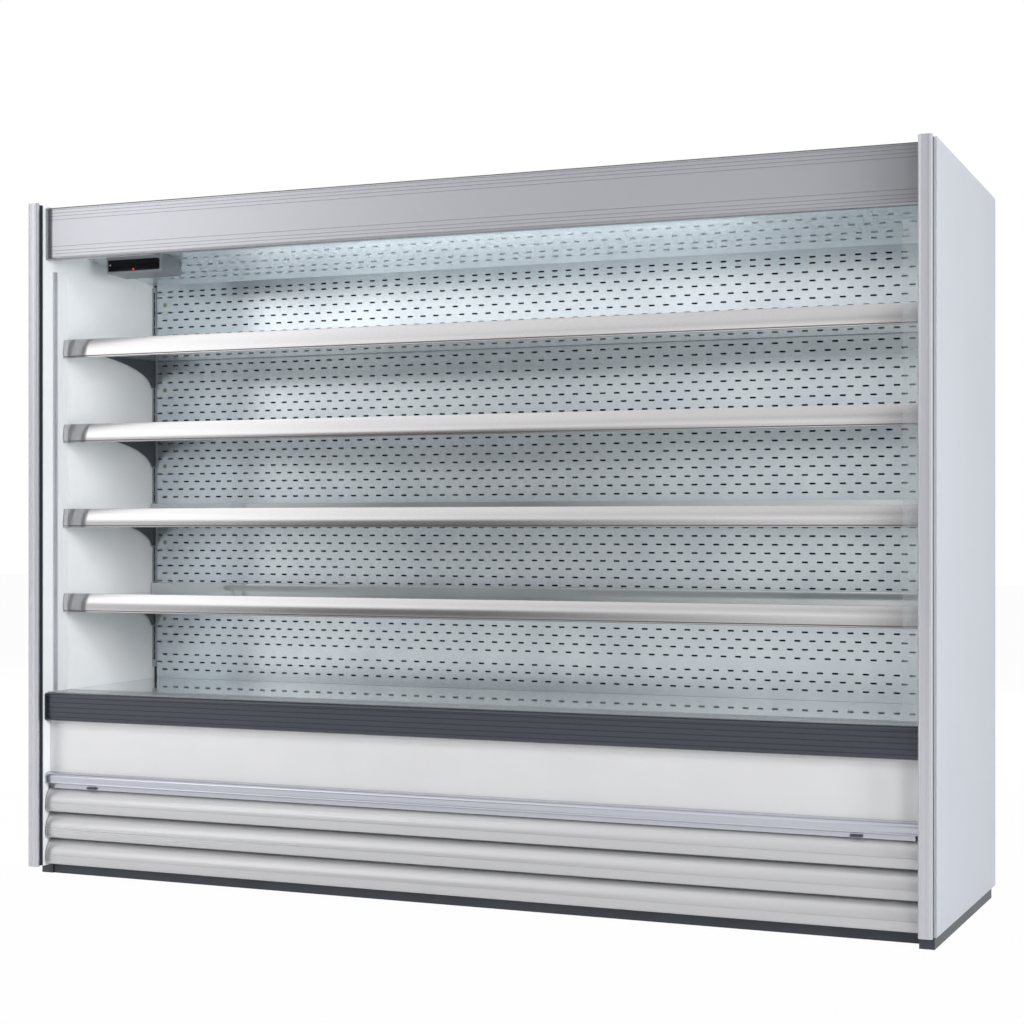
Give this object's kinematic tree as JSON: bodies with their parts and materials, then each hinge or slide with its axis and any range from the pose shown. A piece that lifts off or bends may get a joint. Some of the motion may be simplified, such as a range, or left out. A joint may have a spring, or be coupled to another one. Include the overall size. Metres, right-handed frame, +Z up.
{
  "type": "open multideck display fridge",
  "caption": "Long open-fronted refrigerated display cabinet with shelves over a deck, slotted back panels, canopy, end panels and a louvred base.",
  "frame": {"origin": "bottom centre of the bounding box, on the floor", "axes": "+X along the length to the right seen from the front, front towards -Y, +Z up"},
  "size_m": [2.58, 0.793, 1.91],
  "materials": {
    "white_enamel": "smooth satin white-grey coating",
    "anodised_aluminium": "satin anodised extrusion with fine lengthwise lines",
    "polished_sheet": "bright polished sheet",
    "galvanised_sheet": "galvanised sheet",
    "coil_fins": "thin aluminium fins",
    "grille_mesh": "fine perforated mesh",
    "price_rail_plastic": "glossy off-white",
    "bumper_plastic": "ribbed blue-grey plastic with a soft sheen",
    "bracket_steel": "mid-grey satin paint",
    "display_case": "satin grey",
    "display_black": "gloss black window",
    "insulated_panel": "coated foam-filled panel",
    "seal_rubber": "matt dark rubber",
    "dark_plastic": "matt dark grey plastic",
    "compressor_paint": "black stoved paint",
    "clear_acrylic": "clear acrylic strip"
  },
  "bodies": {
    "cabinet": {"end_panel_left": "white_enamel", "end_panel_right": "white_enamel", "front_panel": "white_enamel", "front_profile_left": "anodised_aluminium", "front_profile_right": "anodised_aluminium", "canopy_fascia": "anodised_aluminium", "trim_rail": "anodised_aluminium", "ceiling_sheet": "polished_sheet", "back_panel_upper": "polished_sheet", "back_panel_lower": "polished_sheet", "base_frame": "galvanised_sheet", "rack_left": "galvanised_sheet", "rack_right": "galvanised_sheet", "fan_plate": "galvanised_sheet", "electrical_box": "galvanised_sheet", "condenser": "galvanised_sheet", "evaporator_coil": "coil_fins", "return_air_grille": "grille_mesh", "bumper": "bumper_plastic", "display_housing": "display_case", "display_window": "display_black", "rear_wall": "insulated_panel", "insulated_tub": "insulated_panel", "roof_panel": "insulated_panel", "air_outlet": "insulated_panel", "seal_strip_left": "seal_rubber", "seal_strip_right": "seal_rubber", "side_plinth_left": "dark_plastic", "side_plinth_right": "dark_plastic", "kick_plate": "dark_plastic", "compressor": "compressor_paint", "wing_left": "clear_acrylic", "wing_right": "clear_acrylic"},
    "evaporator_fan_left": {"evaporator_fan_left": "dark_plastic"},
    "evaporator_fan_right": {"evaporator_fan_right": "dark_plastic"},
    "condenser_fan": {"condenser_fan": "dark_plastic"},
    "shelf_1": {"price_rail_1": "price_rail_plastic", "shelf_tray_1": "polished_sheet", "shelf_frame_1": "bracket_steel"},
    "shelf_2": {"price_rail_2": "price_rail_plastic", "shelf_tray_2": "polished_sheet", "shelf_frame_2": "bracket_steel"},
    "shelf_3": {"price_rail_3": "price_rail_plastic", "shelf_tray_3": "polished_sheet", "shelf_frame_3": "bracket_steel"},
    "shelf_4": {"price_rail_4": "price_rail_plastic", "shelf_tray_4": "polished_sheet", "shelf_frame_4": "bracket_steel"},
    "deck": {"deck_pan": "polished_sheet"},
    "lower_grille": {"grille_frame": "galvanised_sheet", "louvre_slat_1": "anodised_aluminium", "louvre_slat_2": "anodised_aluminium", "louvre_slat_3": "anodised_aluminium"},
    "catch_left": {"grille_catch_left": "dark_plastic"},
    "catch_right": {"grille_catch_right": "dark_plastic"},
    "mains_switch": {"power_switch": "dark_plastic"},
    "foot_front_left": {"foot_front_left": "dark_plastic"},
    "foot_front_right": {"foot_front_right": "dark_plastic"},
    "foot_rear_left": {"foot_rear_left": "dark_plastic"},
    "foot_rear_right": {"foot_rear_right": "dark_plastic"}
  },
  "joints": [
    {"name": "evaporator_fan_left_spin", "type": "hinge", "parent": "cabinet", "child": "evaporator_fan_left", "pos_m": [-0.6, -0.1065, 0.4023], "axis": [0, 1, 0], "continuous": true},
    {"name": "evaporator_fan_right_spin", "type": "hinge", "parent": "cabinet", "child": "evaporator_fan_right", "pos_m": [0.6, -0.1065, 0.4023], "axis": [0, 1, 0], "continuous": true},
    {"name": "condenser_fan_spin", "type": "hinge", "parent": "cabinet", "child": "condenser_fan", "pos_m": [0.56, -0.1765, 0.14615], "axis": [0, 1, 0], "continuous": true},
    {"name": "shelf_1_lift", "type": "slide", "parent": "cabinet", "child": "shelf_1", "axis": [0, 0, 1], "range_m": [0, 0.0085]},
    {"name": "shelf_2_lift", "type": "slide", "parent": "cabinet", "child": "shelf_2", "axis": [0, 0, 1], "range_m": [0, 0.0085]},
    {"name": "shelf_3_lift", "type": "slide", "parent": "cabinet", "child": "shelf_3", "axis": [0, 0, 1], "range_m": [0, 0.0085]},
    {"name": "shelf_4_lift", "type": "slide", "parent": "cabinet", "child": "shelf_4", "axis": [0, 0, 1], "range_m": [0, 0.0085]},
    {"name": "deck_lift", "type": "slide", "parent": "cabinet", "child": "deck", "axis": [0, 0, 1], "range_m": [0, 0.15]},
    {"name": "lower_grille_swing", "type": "hinge", "parent": "cabinet", "child": "lower_grille", "pos_m": [0, -0.3162, 0.043], "axis": [1, 0, 0], "range_deg": [0, 58]},
    {"name": "catch_left_press", "type": "slide", "parent": "lower_grille", "child": "catch_left", "axis": [0, 1, 0], "range_m": [0, 0.003], "stiffness_N_per_m": 500},
    {"name": "catch_right_press", "type": "slide", "parent": "lower_grille", "child": "catch_right", "axis": [0, 1, 0], "range_m": [0, 0.003], "stiffness_N_per_m": 500},
    {"name": "mains_switch_rock", "type": "hinge", "parent": "cabinet", "child": "mains_switch", "pos_m": [-0.68, -0.2795, 0.1503], "axis": [1, 0, 0], "range_deg": [-8, 8]},
    {"name": "foot_front_left_turn", "type": "hinge", "parent": "cabinet", "child": "foot_front_left", "pos_m": [-1.13, -0.2315, 0], "axis": [0, 0, 1], "continuous": true},
    {"name": "foot_front_right_turn", "type": "hinge", "parent": "cabinet", "child": "foot_front_right", "pos_m": [1.13, -0.2315, 0], "axis": [0, 0, 1], "continuous": true},
    {"name": "foot_rear_left_turn", "type": "hinge", "parent": "cabinet", "child": "foot_rear_left", "pos_m": [-1.13, 0.2835, 0], "axis": [0, 0, 1], "continuous": true},
    {"name": "foot_rear_right_turn", "type": "hinge", "parent": "cabinet", "child": "foot_rear_right", "pos_m": [1.13, 0.2835, 0], "axis": [0, 0, 1], "continuous": true}
  ]
}
